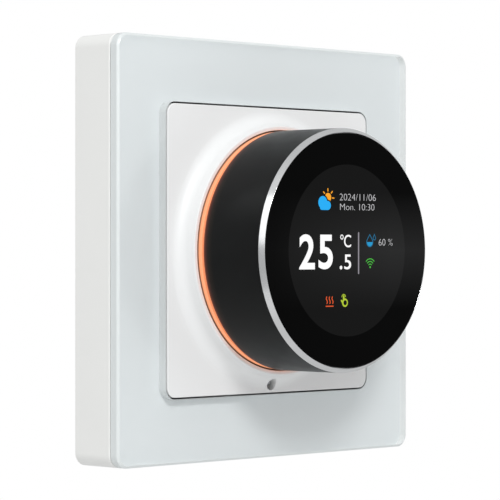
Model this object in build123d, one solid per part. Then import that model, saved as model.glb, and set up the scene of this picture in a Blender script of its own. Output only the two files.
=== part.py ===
from build123d import *

import math
import os

# Wall thermostat with a turning and pressing display knob, for a 60 mm round wall box.
#
# It is modelled lying on its back: x is to the right, y is up the wall, and z is the height
# above the wall's surface, towards the room. stand_up() turns it into the part's own frame:
# +X right, +Z up, +Y into the wall, with the origin on the knob's axis at the wall's surface.

# ---------------------------------------------------------------- driving dimensions (mm)
OUTER_SIZE = 80.0            # square wall frame
OUTER_CORNER = 2.5
FRAME_DEPTH = 9.5            # plastic frame, from the wall to the panel tape
TAPE_THICKNESS = 0.3
GLASS_THICKNESS = 2.0
GLASS_CHAMFER = 0.4
INSERT_SIZE = 55.0           # standard centre insert
INSERT_CORNER = 2.0
INSERT_GAP = 0.3             # seen gap between the insert and the glass
PLATE_THICKNESS = 2.0
BOSS_FOOT_RADIUS = 26.9
BOSS_HEIGHT = 3.5
BOSS_FLARE = 2.7             # radius of the curve the boss rises in
BOSS_CROWN = 0.3             # radius of the crest's outer edge
BOSS_SLOPE = 78.0            # steepest part of the boss's side, in degrees
BOSS_BORE = 23.15
RING_RADIUS = 22.9           # lit ring round the knob's foot
RING_SHOWN = 0.8             # how far it stands out of the boss
KNOB_RADIUS = 23.05
KNOB_BORE = 21.5
KNOB_FRONT = 20.3            # from the panel's front to the cover glass's front
LENS_RADIUS = 22.12
LENS_CLEARANCE = 0.13        # between the still lens and the turning bezel
LENS_RISE = 0.15             # how far the lens stands out of the bezel
BEZEL_HEIGHT = 0.85
BEZEL_FIT_RADIUS = 22.6      # where the bezel is pressed into the sleeve
SLEEVE_GAP = 0.65            # between the lit ring and the sleeve, for the press
PRESS_TRAVEL = 0.5
DISPLAY_RADIUS = 18.4
SCREW_SPACING = 60.0         # wall box screws
SLOT_WIDTH = 3.4
SLOT_LENGTH = 7.0
BRACKET_SIZE = 71.0
BRACKET_THICKNESS = 1.0
BRACKET_OPENING = 19.5
HOUSING_DEPTH = 21.5         # behind the wall's surface
HOUSING_SIZE = 48.0
HOUSING_ROUND = 28.5         # radius that clears the round box
HOUSING_BEVEL = 5.0          # wide bevel round the back
HOUSING_WALL = 1.6
TERMINAL_POLES = 5
TERMINAL_PITCH = 5.08
GEAR_MODULE = 0.6
RING_TEETH = 60
PINION_TEETH = 12
RING_LED_COUNT = 12

# ---------------------------------------------------------------- heights worked out from them
TAPE_FRONT = FRAME_DEPTH + TAPE_THICKNESS
PANEL_FRONT = TAPE_FRONT + GLASS_THICKNESS
PLATE_BACK = PANEL_FRONT - PLATE_THICKNESS
BOSS_TOP = PANEL_FRONT + BOSS_HEIGHT
RING_FRONT = BOSS_TOP + RING_SHOWN
SLEEVE_BACK = RING_FRONT + SLEEVE_GAP
KNOB_TOP = PANEL_FRONT + KNOB_FRONT
BEZEL_FRONT = KNOB_TOP - LENS_RISE
SLEEVE_FRONT = BEZEL_FRONT - BEZEL_HEIGHT - 0.05
BEZEL_SEAT = SLEEVE_FRONT - 0.95
GLASS_BACK = KNOB_TOP - 1.15
ADHESIVE_BACK = GLASS_BACK - 0.2
TRAY_BACK = 2.8
TRAY_FLOOR = 4.3
LED_BOARD_BACK = 7.3
LED_BOARD_FRONT = 8.5
REAR_PLATE_BACK = 18.6
REAR_PLATE_FRONT = 20.3
CARRIER_BACK = 24.2
CARRIER_FLOOR = 25.4
BOARD_BACK = 25.9
BOARD_FRONT = 26.9
GEAR_BACK = 22.4
GEAR_FRONT = 24.0
HOUSING_BACK = -HOUSING_DEPTH
POWER_BOARD_FRONT = -4.0
POWER_BOARD_BACK = -5.6

BOX_SCREWS = [(x, y) for x in (-16.6, 16.6) for y in (-16.6, 16.6)]
TRAY_SCREWS = [(x, y) for x in (-23.2, 23.2) for y in (-23.2, 23.2)]
SENSOR_Y = -25.9
SENSOR_HOLE = 1.15
PLUG_Y = -14.0
PLUG_PINS = 8
PLUG_PITCH = 2.54
SWITCH_Y = 14.4
PINION_Y = GEAR_MODULE * (RING_TEETH - PINION_TEETH) / 2
LEG_ANGLES = (30, 150, 270)
LEG_RADIUS = 13.0
LED_SCREW_ANGLES = (30, 150, 205, 335)
LED_SCREW_CIRCLE = 16.5
STEM_RADIUS = 6.5
STEM_CLEARANCE = 0.05
BOARD_POSTS = [(3.0, 19.2), (-19.8, -11.8), (19.8, -11.8)]
TERMINAL_BOTTOM = -23.8
TERMINAL_TOP = -12.8
TERMINAL_BACK = HOUSING_BACK + 0.6
TERMINAL_SCREW_Y = -19.6


# ---------------------------------------------------------------- shape helpers
def slab(width, height, corner, low, high):
    """A plate with rounded corners between two heights."""
    outline = RectangleRounded(width, height, corner) if corner else Rectangle(width, height)
    return Pos(0, 0, low) * extrude(outline, high - low)


def frame_slab(outer, outer_corner, inner, inner_corner, low, high):
    """A square plate with a square opening."""
    outline = RectangleRounded(outer, outer, outer_corner)
    outline -= RectangleRounded(inner, inner, inner_corner)
    return Pos(0, 0, low) * extrude(outline, high - low)


def block(left, right, bottom, top, low, high):
    """A box given by its six faces."""
    middle = Pos((left + right) / 2, (bottom + top) / 2, (low + high) / 2)
    return middle * Box(right - left, top - bottom, high - low)


def rod(radius, low, high, x=0.0, y=0.0):
    """A round bar standing on its end."""
    return Pos(x, y, low) * extrude(Circle(radius), high - low)


def ring(outer, inner, low, high, x=0.0, y=0.0):
    """A plain tube or washer."""
    return Pos(x, y, low) * extrude(Circle(outer) - Circle(inner), high - low)


def turned(points):
    """A shape turned about the z axis from a closed outline of (radius, height) points."""
    return revolve(Plane.XZ * make_face(Polyline(*points, close=True)), Axis.Z)


def polar(radius, degrees):
    angle = math.radians(degrees)
    return radius * math.cos(angle), radius * math.sin(angle)


def pan_screw(x, y, seat, head_radius, head_height, shank_radius, length, facing=1):
    """A pan head screw with a cross recess; facing is 1 when its head looks to the room."""
    head = extrude(Circle(head_radius), head_height)
    head = chamfer(head.edges().group_by(Axis.Z)[-1], head_height * 0.3)
    shank = Pos(0, 0, -length) * extrude(Circle(shank_radius), length)
    recess_depth = head_height * 0.6
    cross = Box(head_radius * 1.1, head_radius * 0.26, recess_depth * 2)
    cross += Box(head_radius * 0.26, head_radius * 1.1, recess_depth * 2)
    screw = head + shank - Pos(0, 0, head_height) * cross
    turn = Rot(0, 0, 0) if facing > 0 else Rot(180, 0, 0)
    return Pos(x, y, seat) * turn * screw


def stand_up(shape):
    """From the lying working frame to the part's own frame."""
    return Plane.XZ.location * shape


def save(name, shapes):
    """Writes one node, with each of its solids on its own."""
    solids = []
    for shape in shapes if isinstance(shapes, list) else [shapes]:
        solids += stand_up(shape).solids()
    node = Compound(label=name, children=solids) if len(solids) > 1 else solids[0]
    export_step(node, f"parts/{name}.step")


# ---------------------------------------------------------------- wall frame and panel
def outer_frame():
    """Hollow plastic frame: outer wall, front web, inner collar and stiffening ribs."""
    wall_inside = OUTER_SIZE - 2 * 2.4
    collar_inside = INSERT_SIZE + 1.2
    collar_outside = collar_inside + 3.2
    body = slab(OUTER_SIZE, OUTER_SIZE, OUTER_CORNER, 0, FRAME_DEPTH)
    body = fillet(body.edges().group_by(Axis.Z)[-1], 0.2)
    body -= frame_slab(wall_inside, 1.2, collar_outside, 2.6, -1, FRAME_DEPTH - 2.2)
    body -= slab(collar_inside, collar_inside, 2.4, -1, FRAME_DEPTH + 1)
    body -= slab(collar_outside + 1, collar_outside + 1, 2.6, -1, 2.2)
    for turn in range(4):
        for offset in (-15.0, 15.0):
            rib = block(offset - 0.6, offset + 0.6, collar_outside / 2 - 0.1, wall_inside / 2 + 0.1,
                        3.0, FRAME_DEPTH - 2.0)
            body += Rot(0, 0, 90 * turn) * rib
    return body


def panel_tape():
    """Black bonding tape between the frame and the glass, set back from both edges."""
    return frame_slab(OUTER_SIZE - 0.9, OUTER_CORNER - 0.4, INSERT_SIZE + 2.2, 2.6,
                      FRAME_DEPTH, TAPE_FRONT)


def glass_panel():
    opening = INSERT_SIZE + 2 * INSERT_GAP
    panel = slab(OUTER_SIZE, OUTER_SIZE, OUTER_CORNER, TAPE_FRONT, PANEL_FRONT)
    panel = chamfer(panel.edges().group_by(Axis.Z)[-1], GLASS_CHAMFER)
    return panel - slab(opening, opening, INSERT_CORNER + INSERT_GAP, 0, PANEL_FRONT + 1)


# ---------------------------------------------------------------- front module, fixed pieces
def boss_profile():
    """Half section of the raised boss: flared side, rounded crest, and its hollow."""
    lean = math.radians(BOSS_SLOPE)
    climb = (BOSS_FLARE + BOSS_CROWN) * (1 - math.cos(lean))
    foot = (BOSS_FOOT_RADIUS, PANEL_FRONT)
    side_low = (foot[0] - BOSS_FLARE * math.sin(lean), foot[1] + BOSS_FLARE * (1 - math.cos(lean)))
    side_high = (side_low[0] - (BOSS_HEIGHT - climb) / math.tan(lean), side_low[1] + BOSS_HEIGHT - climb)
    crest = (side_high[0] - BOSS_CROWN * math.sin(lean), BOSS_TOP)
    lip = 0.15
    rise = TangentArc(foot, side_low, tangent=(-1, 0))
    side = Line(side_low, side_high)
    crown = TangentArc(side_high, crest, tangent=side % 1)
    top = Line(crest, (BOSS_BORE + lip, BOSS_TOP))
    edge = TangentArc((BOSS_BORE + lip, BOSS_TOP), (BOSS_BORE, BOSS_TOP - lip), tangent=(-1, 0))
    inside = Polyline((BOSS_BORE, BOSS_TOP - lip), (BOSS_BORE, PLATE_BACK + 1.5), (25.1, PLATE_BACK + 1.5),
                      (25.1, PLATE_BACK), (BOSS_FOOT_RADIUS, PLATE_BACK), foot)
    return make_face(rise + side + crown + top + edge + inside)


def centre_plate():
    """White 55 mm insert with the raised boss, a skirt, screw bosses and four snap arms."""
    skirt_back = 5.0
    half = INSERT_SIZE / 2
    plate = slab(INSERT_SIZE, INSERT_SIZE, INSERT_CORNER, PLATE_BACK, PANEL_FRONT)
    plate = fillet(plate.edges().group_by(Axis.Z)[-1], 0.25)
    plate -= rod(BOSS_FOOT_RADIUS - 0.5, 0, PANEL_FRONT + 1)
    plate += revolve(Plane.XZ * boss_profile(), Axis.Z)
    plate += frame_slab(INSERT_SIZE, INSERT_CORNER, INSERT_SIZE - 3, 1.0, skirt_back, PLATE_BACK)
    for x, y in TRAY_SCREWS:
        plate += ring(2.2, 1.02, TRAY_FLOOR, PLATE_BACK, x, y)
    for side in (-1, 1):
        for x in (-6.0, 6.0):
            arm = block(x - 2, x + 2, half - 1.4, half - 0.1, -1.2, skirt_back + 0.1)
            nose = block(x - 2, x + 2, half - 0.2, half + 0.4, -1.2, -0.1)
            plate += Rot(0, 0, 0 if side > 0 else 180) * (arm + nose)
    plate -= rod(SENSOR_HOLE, PLATE_BACK - 1, PANEL_FRONT + 4, 0, SENSOR_Y)
    return plate


def light_ring():
    """Translucent light guide: a flange behind the boss, the lit band, and a core in the sleeve."""
    return turned([(20.2, 9.5), (24.8, 9.5), (24.8, 11.0), (RING_RADIUS, 11.0), (RING_RADIUS, RING_FRONT),
                   (21.2, RING_FRONT), (21.2, SLEEVE_BACK + 0.5), (20.2, SLEEVE_BACK + 0.5)])


def led_board():
    board = ring(24.6, 9.8, LED_BOARD_BACK, LED_BOARD_FRONT)
    board += block(-4, 4, -25.85, -22, LED_BOARD_BACK, LED_BOARD_FRONT)
    for angle in LED_SCREW_ANGLES:
        board -= rod(1.1, 0, 10, *polar(LED_SCREW_CIRCLE, angle))
    return board


def ring_leds():
    leds = []
    for index in range(RING_LED_COUNT):
        turn = Rot(0, 0, 360 / RING_LED_COUNT * (index + 0.5))
        led = block(21.0, 23.0, -1, 1, LED_BOARD_FRONT, LED_BOARD_FRONT + 0.7)
        leds.append(turn * led)
    return leds


def led_board_screws():
    places = [polar(LED_SCREW_CIRCLE, angle) for angle in LED_SCREW_ANGLES]
    return [pan_screw(x, y, LED_BOARD_FRONT, 1.9, 1.3, 1.0, 4.0) for x, y in places]


def inner_tray():
    """Back tray of the front module, with the guide socket that the knob's stem slides in."""
    tray = slab(51.6, 51.6, 1.0, TRAY_BACK, TRAY_FLOOR)
    tray += frame_slab(51.6, 1.0, 49.2, 0.6, TRAY_FLOOR, 7.0)
    for x, y in TRAY_SCREWS:
        tray -= rod(2.5, TRAY_FLOOR, 8, x, y)
        tray -= rod(1.15, 0, 8, x, y)
    tray += ring(9.6, 8.0, TRAY_FLOOR, 9.5)
    tray += ring(9.6, STEM_RADIUS + STEM_CLEARANCE, 9.5, 15.5)
    for angle in LED_SCREW_ANGLES:
        tray += ring(2.3, 1.02, TRAY_FLOOR, LED_BOARD_BACK, *polar(LED_SCREW_CIRCLE, angle))
    half = PLUG_PINS * PLUG_PITCH / 2 + 0.7
    tray -= block(-half, half, PLUG_Y - 1.8, PLUG_Y + 1.8, 0, TRAY_FLOOR + 0.1)
    return tray


def tray_screws():
    return [pan_screw(x, y, TRAY_BACK, 1.9, 1.3, 1.0, 5.5, facing=-1) for x, y in TRAY_SCREWS]


def room_sensor():
    """Bead thermistor behind the small hole, on two leads."""
    y = SENSOR_Y + 0.5
    sensor = Pos(0, y, PANEL_FRONT - 0.9) * Sphere(0.6)
    for x in (-0.3, 0.3):
        sensor += rod(0.12, LED_BOARD_FRONT, PANEL_FRONT - 0.9, x, y)
    return sensor


def press_switch():
    body = block(-3, 3, SWITCH_Y - 3, SWITCH_Y + 3, LED_BOARD_FRONT, 12.2)
    body = chamfer(body.edges().filter_by(Axis.Z), 0.4)
    return body - rod(1.85, 10.7, 13, 0, SWITCH_Y)


def plug_places():
    first = -(PLUG_PINS - 1) / 2 * PLUG_PITCH
    return [first + PLUG_PITCH * index for index in range(PLUG_PINS)]


def plug_socket():
    """Socket strip under the led board, which plugs onto the power board's pins."""
    half = PLUG_PINS * PLUG_PITCH / 2 + 0.4
    body = block(-half, half, PLUG_Y - 1.25, PLUG_Y + 1.25, -1.2, LED_BOARD_BACK)
    for x in plug_places():
        body -= block(x - 0.4, x + 0.4, PLUG_Y - 0.4, PLUG_Y + 0.4, -2, 5)
    return body


def plug_header():
    """Pin strip on the power board."""
    half = PLUG_PINS * PLUG_PITCH / 2
    header = block(-half, half, PLUG_Y - 1.25, PLUG_Y + 1.25, POWER_BOARD_FRONT, POWER_BOARD_FRONT + 2.5)
    for x in plug_places():
        header += block(x - 0.32, x + 0.32, PLUG_Y - 0.32, PLUG_Y + 0.32, POWER_BOARD_FRONT + 2.4, 4.5)
    return header


def ribbon_connector():
    body = block(-4.2, 4.2, -1.6, 1.6, TRAY_FLOOR, 6.4)
    return body - block(-3.2, 3.2, -0.3, 0.3, 5.6, 7)


# ---------------------------------------------------------------- wall bracket and rear housing
def mounting_bracket():
    """Steel plate with slots on two 60 mm lines, snap windows and a round opening."""
    plate = slab(BRACKET_SIZE, BRACKET_SIZE, 4.0, 0, BRACKET_THICKNESS)
    plate -= rod(BRACKET_OPENING, -1, 2)
    half = SCREW_SPACING / 2
    slot = SlotOverall(SLOT_LENGTH, SLOT_WIDTH)
    for turn in range(4):
        plate -= Rot(0, 0, 90 * turn) * Pos(half, 0, -1) * extrude(slot, 3)
        for side in (-1, 1):
            plate -= Rot(0, 0, 90 * turn) * Pos(31.5, side * 31.5, -1) * extrude(Circle(1.6), 3)
    for side in (-1, 1):
        for x in (-6.0, 6.0):
            plate -= Rot(0, 0, 0 if side > 0 else 180) * block(x - 2.5, x + 2.5, 25.7, 28.3, -1, 2)
    for x, y in BOX_SCREWS:
        plate -= rod(1.45, -1, 2, x, y)
    return plate


def bracket_screws():
    return [pan_screw(x, y, BRACKET_THICKNESS, 2.2, 1.2, 1.25, 7.0) for x, y in BOX_SCREWS]


def box_outline(size, radius):
    """Square with its corners rounded by the circle that clears a round wall box."""
    return Rectangle(size, size) & Circle(radius)


def rear_housing():
    """Plastic box behind the wall, open to the front, with a bay for the terminals."""
    inner = HOUSING_SIZE - 2 * HOUSING_WALL
    floor = HOUSING_BACK + HOUSING_WALL
    outline = box_outline(HOUSING_SIZE, HOUSING_ROUND)
    straight = Pos(0, 0, HOUSING_BACK) * extrude(outline, HOUSING_DEPTH)
    outside = chamfer(straight.edges().group_by(Axis.Z)[0], HOUSING_BEVEL)
    hollow = Pos(0, 0, floor) * extrude(box_outline(inner, HOUSING_ROUND - HOUSING_WALL), HOUSING_DEPTH)
    hollow = chamfer(hollow.edges().group_by(Axis.Z)[0], HOUSING_BEVEL - 0.6)
    body = outside - hollow
    for x, y in BOX_SCREWS:
        body += rod(3.2, floor - 1, 0, x, y) & outside
        body -= rod(1.27, -8, 1, x, y)
    for x, y in BOARD_POSTS:
        body += rod(2.0, floor - 1, POWER_BOARD_BACK, x, y) & outside
        body -= rod(0.92, POWER_BOARD_BACK - 5, POWER_BOARD_BACK + 1, x, y)
    half, wall = bay_half(), 1.2
    bay = block(-half - wall, half + wall, -HOUSING_SIZE / 2, TERMINAL_TOP + wall + 0.2,
                HOUSING_BACK, POWER_BOARD_BACK - 0.4)
    body += bay & straight
    body -= block(-half, half, -30, TERMINAL_TOP + 0.2, -40, POWER_BOARD_BACK + 0.4)
    for index in range(7):
        x = -12 + 4 * index
        body -= block(x - 0.75, x + 0.75, 20, 30, -15, -7)
    return body


def bay_half():
    return TERMINAL_POLES * TERMINAL_PITCH / 2 + 0.4


def insulating_cover():
    """Thin cover over the rear housing, with a window for the plug."""
    size = HOUSING_SIZE - 2 * HOUSING_WALL - 0.4
    cover = Pos(0, 0, -1.4) * extrude(box_outline(size, HOUSING_ROUND - HOUSING_WALL - 0.3), 1.4)
    for x, y in BOX_SCREWS:
        cover -= rod(3.5, -3, 1, x, y)
    half = PLUG_PINS * PLUG_PITCH / 2 + 0.8
    return cover - block(-half, half, PLUG_Y - 1.8, PLUG_Y + 1.8, -3, 1)


def power_board():
    board = Pos(0, 0, POWER_BOARD_BACK) * extrude(box_outline(43.6, 26.4), 1.6)
    for x, y in BOX_SCREWS:
        board -= rod(3.6, -10, 0, x, y)
    for x, y in BOARD_POSTS:
        board -= rod(1.1, -10, 0, x, y)
    return board


def board_screws():
    return [pan_screw(x, y, POWER_BOARD_FRONT, 1.8, 1.2, 0.9, 5.0) for x, y in BOARD_POSTS]


def relay():
    body = block(-18.8, -3.8, -9.5, 9.5, -18.2, POWER_BOARD_BACK)
    body = chamfer(body.edges().group_by(Axis.Z)[0], 0.6)
    return fillet(body.edges().filter_by(Axis.Z), 0.8)


def power_module():
    body = block(-1.5, 15.5, 0.0, 12.5, -17.0, POWER_BOARD_BACK)
    return fillet(body.edges().filter_by(Axis.Z), 0.8)


def filter_capacitor():
    can = rod(4.0, -16.6, POWER_BOARD_BACK, -8.5, 14.8)
    return fillet(can.edges().group_by(Axis.Z)[0], 0.5)


def varistor():
    disc = Pos(4.0, -6.0, -10.6) * Rot(90, 0, 0) * Cylinder(4.2, 3.4)
    disc = fillet(disc.edges(), 0.8)
    for x in (1.5, 6.5):
        disc += rod(0.35, -10.0, POWER_BOARD_BACK, x, -6.0)
    return disc


def fuse():
    can = rod(3.2, -13.6, POWER_BOARD_BACK, 13.0, -5.4)
    return fillet(can.edges().group_by(Axis.Z)[0], 0.6)


def terminal_places():
    first = -(TERMINAL_POLES - 1) / 2 * TERMINAL_PITCH
    return [first + TERMINAL_PITCH * index for index in range(TERMINAL_POLES)]


def terminal_block():
    """Screw terminals: wires enter from below, screws are turned from the back."""
    half = bay_half() - 0.2
    body = block(-half, half, TERMINAL_BOTTOM, TERMINAL_TOP, TERMINAL_BACK, POWER_BOARD_BACK)
    body = chamfer(body.edges().group_by(Axis.Z)[0], 0.4)
    for x in terminal_places():
        body -= block(x - 1.95, x + 1.95, TERMINAL_BOTTOM + 1.2, TERMINAL_BOTTOM + 7.2, -15.6, -8.0)
        body -= block(x - 1.7, x + 1.7, TERMINAL_BOTTOM - 1, TERMINAL_BOTTOM + 2, -13.0, -9.6)
        body -= rod(2.0, TERMINAL_BACK - 1, -15, x, TERMINAL_SCREW_Y)
    return body


def terminal_clamps():
    """Metal cages that the screws draw up onto the wires."""
    clamps = []
    for x in terminal_places():
        cage = block(x - 1.9, x + 1.9, TERMINAL_BOTTOM + 1.4, TERMINAL_BOTTOM + 7.0, -14.8, -8.4)
        cage -= block(x - 1.3, x + 1.3, -24, -16, -13.2, -9.2)
        clamps.append(cage - rod(1.27, -15, -13, x, TERMINAL_SCREW_Y))
    return clamps


def terminal_screws():
    """Slotted clamp screws, heads to the back."""
    screws = []
    for x in terminal_places():
        screw = rod(1.85, -19.6, -18.0, x, TERMINAL_SCREW_Y) + rod(1.25, -18.0, -11.8, x, TERMINAL_SCREW_Y)
        slot = block(x - 2, x + 2, TERMINAL_SCREW_Y - 0.35, TERMINAL_SCREW_Y + 0.35, -20, -18.9)
        screws.append(screw - slot)
    return screws


# ---------------------------------------------------------------- knob: fixed display core
def rear_plate():
    """Plate and hollow stem that carry the knob and slide in the tray's guide socket."""
    plate = turned([(4.5, 8.2), (STEM_RADIUS, 8.2), (STEM_RADIUS, 8.5), (5.9, 8.5), (5.9, 9.4), (STEM_RADIUS, 9.4),
                    (STEM_RADIUS, REAR_PLATE_BACK), (20.8, REAR_PLATE_BACK), (20.8, 18.9), (20.3, 18.9),
                    (20.3, 20.0), (20.8, 20.0), (20.8, REAR_PLATE_FRONT), (4.5, REAR_PLATE_FRONT)])
    for angle in LEG_ANGLES:
        plate -= rod(1.05, 10, 22, *polar(LEG_RADIUS, angle))
    return plate


def stem_clip():
    """Retaining clip in the stem's groove; its gap lets it spring over the stem."""
    clip = ring(7.6, 5.9, 8.5, 9.4)
    return clip - block(-1.6, 1.6, -9, 0, 8, 10)


def rear_glide_ring():
    return ring(KNOB_BORE - 0.06, 20.3, 18.9, 20.0)


def display_carrier():
    """Cup that holds the board and the display, on three legs from the rear plate."""
    groove_back, groove_front = 27.4, 28.9
    cup = turned([(4.6, CARRIER_BACK), (20.8, CARRIER_BACK), (20.8, groove_back), (20.3, groove_back),
                  (20.3, groove_front), (20.8, groove_front), (20.8, ADHESIVE_BACK), (18.9, ADHESIVE_BACK),
                  (18.9, CARRIER_FLOOR), (4.6, CARRIER_FLOOR)])
    for angle in LEG_ANGLES:
        x, y = polar(LEG_RADIUS, angle)
        cup += rod(2.2, REAR_PLATE_FRONT, CARRIER_BACK, x, y)
        cup -= rod(1.02, 19, CARRIER_BACK + 0.4, x, y)
        x, y = polar(15.5, angle + 60)
        cup += rod(1.2, CARRIER_FLOOR, BOARD_BACK, x, y)
    return cup - rod(0.86, 24, 25.0, 0, PINION_Y)


def front_glide_ring():
    return ring(KNOB_BORE - 0.06, 20.3, 27.4, 28.9)


def carrier_screws():
    places = [polar(LEG_RADIUS, angle) for angle in LEG_ANGLES]
    return [pan_screw(x, y, REAR_PLATE_BACK, 1.9, 1.2, 1.0, 5.4, facing=-1) for x, y in places]


def control_board():
    return ring(18.3, 1.0, BOARD_BACK, BOARD_FRONT)


def processor():
    return chamfer(block(-11, -4, 1, 8, BOARD_FRONT, 27.8).edges().group_by(Axis.Z)[-1], 0.2)


def radio_module():
    module = block(1, 13, -11, -1, BOARD_FRONT, 27.5)
    return module + block(1.6, 10, -10.4, -1.6, 27.4, 28.6)


def display_module():
    """Round liquid crystal display with its backlight tray."""
    screen = rod(DISPLAY_RADIUS, 29.1, ADHESIVE_BACK)
    return chamfer(screen.edges().group_by(Axis.Z)[0], 0.3)


def display_adhesive():
    return rod(20.8, ADHESIVE_BACK, GLASS_BACK)


def cover_glass():
    lens = rod(LENS_RADIUS, GLASS_BACK, KNOB_TOP)
    return chamfer(lens.edges().group_by(Axis.Z)[-1], 0.1)


def encoder():
    """Low rotary encoder with a sleeve bearing for the pinion's shaft."""
    body = block(-4.5, 4.5, PINION_Y - 4.5, PINION_Y + 4.5, REAR_PLATE_FRONT, 22.1)
    body = chamfer(body.edges().filter_by(Axis.Z), 0.6)
    return body - rod(1.56, 20.8, 23, 0, PINION_Y)


def switch_plunger():
    plunger = rod(1.75, 11.4, REAR_PLATE_BACK, 0, SWITCH_Y)
    return chamfer(plunger.edges().group_by(Axis.Z)[-1], 0.2)


def return_spring():
    """Coil spring that pushes the knob back out after a press."""
    wire = 0.3
    low, high = LED_BOARD_FRONT + wire + 0.05, REAR_PLATE_BACK - wire - 0.05
    path = Helix(pitch=(high - low) / 4, height=high - low, radius=10.35)
    coil = sweep(Plane(origin=path @ 0, z_dir=path % 0) * Circle(wire), path)
    return Pos(0, 0, low) * coil


def ribbon_cable():
    """Flat cable from the control board through the stem, with a slack bend."""
    path = Polyline((0, 6.4), (0, 9.0)) + Spline((0, 9.0), (2.2, 13.0), (-2.0, 18.0), (0, 22.0),
                                                 tangents=((0, 1), (0, 1)))
    path += Polyline((0, 22.0), (0, BOARD_BACK))
    strip = extrude(Plane.YZ * trace(path, 0.2), 3.0, both=True)
    return strip


# ---------------------------------------------------------------- knob: turning pieces
def knob_sleeve():
    return turned([(KNOB_BORE, SLEEVE_BACK), (KNOB_RADIUS - 0.2, SLEEVE_BACK), (KNOB_RADIUS, SLEEVE_BACK + 0.2),
                   (KNOB_RADIUS, SLEEVE_FRONT), (BEZEL_FIT_RADIUS, SLEEVE_FRONT),
                   (BEZEL_FIT_RADIUS, BEZEL_SEAT), (KNOB_BORE, BEZEL_SEAT)])


def bezel_ring():
    """Polished ring with a wide bevel, pressed into the sleeve's front."""
    inner = LENS_RADIUS + LENS_CLEARANCE
    return turned([(KNOB_BORE, BEZEL_SEAT), (BEZEL_FIT_RADIUS, BEZEL_SEAT), (BEZEL_FIT_RADIUS, SLEEVE_FRONT),
                   (KNOB_RADIUS, SLEEVE_FRONT), (KNOB_RADIUS, SLEEVE_FRONT + 0.05), (inner + 0.05, BEZEL_FRONT),
                   (inner, BEZEL_FRONT), (inner, GLASS_BACK - 0.15), (KNOB_BORE, GLASS_BACK - 0.15)])


def gear_outline(teeth, tip, pitch, root, tip_half, pitch_half, root_half, first):
    """Tooth outline as straight flanks; half widths are across one side of a tooth."""
    points = []
    for index in range(teeth):
        middle = first + 360 / teeth * index
        for radius, half in ((root, -root_half), (pitch, -pitch_half), (tip, -tip_half),
                             (tip, tip_half), (pitch, pitch_half), (root, root_half)):
            points.append(polar(radius, middle + math.degrees(half / radius)))
    return make_face(Polyline(*points, close=True))


def ring_gear():
    """Internal gear pressed into the sleeve; a gap between teeth faces the pinion at rest."""
    pitch = GEAR_MODULE * RING_TEETH / 2
    hollow = gear_outline(RING_TEETH, pitch - 0.5, pitch, pitch + 0.7, 0.22, 0.40, 0.60, 3)
    return Pos(0, 0, GEAR_BACK) * extrude(Circle(KNOB_BORE) - hollow, GEAR_FRONT - GEAR_BACK)


def encoder_pinion():
    """Pinion on the encoder's shaft, with a pivot in the carrier."""
    pitch = GEAR_MODULE * PINION_TEETH / 2
    wheel = gear_outline(PINION_TEETH, pitch + 0.5, pitch, pitch - 0.7, 0.20, 0.38, 0.58, 90)
    gear = Pos(0, PINION_Y, GEAR_BACK) * extrude(wheel, GEAR_FRONT - GEAR_BACK)
    return gear + rod(1.5, 20.9, GEAR_BACK, 0, PINION_Y) + rod(0.8, GEAR_FRONT, 24.9, 0, PINION_Y)


NODES = [
    outer_frame, panel_tape, glass_panel, centre_plate, light_ring, led_board, ring_leds, led_board_screws,
    inner_tray, tray_screws, room_sensor, press_switch, plug_socket, plug_header, ribbon_connector,
    mounting_bracket, bracket_screws, rear_housing, insulating_cover, power_board, board_screws, relay,
    power_module, filter_capacitor, varistor, fuse, terminal_block, terminal_clamps, terminal_screws,
    rear_plate, stem_clip, rear_glide_ring, display_carrier, front_glide_ring, carrier_screws, control_board,
    processor, radio_module, display_module, display_adhesive, cover_glass, encoder, switch_plunger,
    return_spring, ribbon_cable, knob_sleeve, bezel_ring, ring_gear, encoder_pinion,
]

os.makedirs("parts", exist_ok=True)
for make in NODES:
    save(make.__name__, make())
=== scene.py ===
"""Wall thermostat: the visible pieces, their materials, the studio and the camera.

Sizes are in millimetres: x to the right, z up, and height is the distance from the wall's surface
towards the room. point() turns them into the frame's metres.
"""

import math

import bmesh
import bpy
from mathutils import Matrix, Vector


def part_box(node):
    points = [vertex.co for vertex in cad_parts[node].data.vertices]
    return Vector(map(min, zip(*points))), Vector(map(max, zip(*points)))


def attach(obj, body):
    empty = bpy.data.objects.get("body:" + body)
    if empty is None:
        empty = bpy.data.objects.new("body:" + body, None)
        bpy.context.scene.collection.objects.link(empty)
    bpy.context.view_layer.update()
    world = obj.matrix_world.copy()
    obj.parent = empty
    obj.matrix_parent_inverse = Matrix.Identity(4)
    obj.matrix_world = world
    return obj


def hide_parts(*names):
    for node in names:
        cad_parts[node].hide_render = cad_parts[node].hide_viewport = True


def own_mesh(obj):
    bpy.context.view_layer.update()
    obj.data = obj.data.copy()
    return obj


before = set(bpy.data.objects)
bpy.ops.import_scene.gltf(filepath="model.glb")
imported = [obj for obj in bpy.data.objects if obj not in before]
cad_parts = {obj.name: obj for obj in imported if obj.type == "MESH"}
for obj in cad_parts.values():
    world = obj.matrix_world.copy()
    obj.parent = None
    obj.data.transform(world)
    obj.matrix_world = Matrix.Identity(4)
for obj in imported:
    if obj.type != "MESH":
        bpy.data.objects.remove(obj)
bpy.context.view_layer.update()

MM = 0.001


def half(node):
    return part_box(node)[1].x / MM


def front(node):
    return -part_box(node)[0].y / MM


def back(node):
    return -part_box(node)[1].y / MM


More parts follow.
